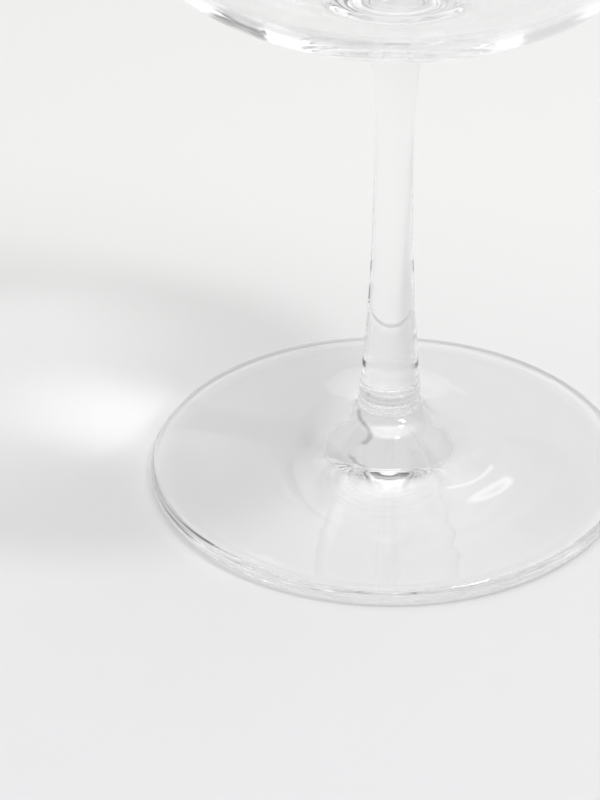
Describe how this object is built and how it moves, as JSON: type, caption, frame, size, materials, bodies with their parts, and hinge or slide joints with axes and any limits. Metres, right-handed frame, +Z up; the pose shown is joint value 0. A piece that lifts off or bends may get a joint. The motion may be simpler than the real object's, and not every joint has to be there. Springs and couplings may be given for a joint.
{
  "type": "nick and nora glass",
  "caption": "Small stemmed cocktail glass in clear glass: a deep rounded bowl that draws in towards the rim, a slender waisted stem and a low conical foot, fused together.",
  "frame": {"origin": "centre of the ring that the foot stands on, in the plane of the table", "axes": "+Z up along the axis of the glass, from the foot to the rim; the glass is round, so X and Y are free, and the picture looks along +Y"},
  "size_m": [0.071, 0.071, 0.1349],
  "materials": {
    "clear_glass": "clear colourless glass, fire polished"
  },
  "bodies": {
    "root": {"foot": "clear_glass", "stem": "clear_glass", "bowl": "clear_glass"}
  },
  "joints": []
}
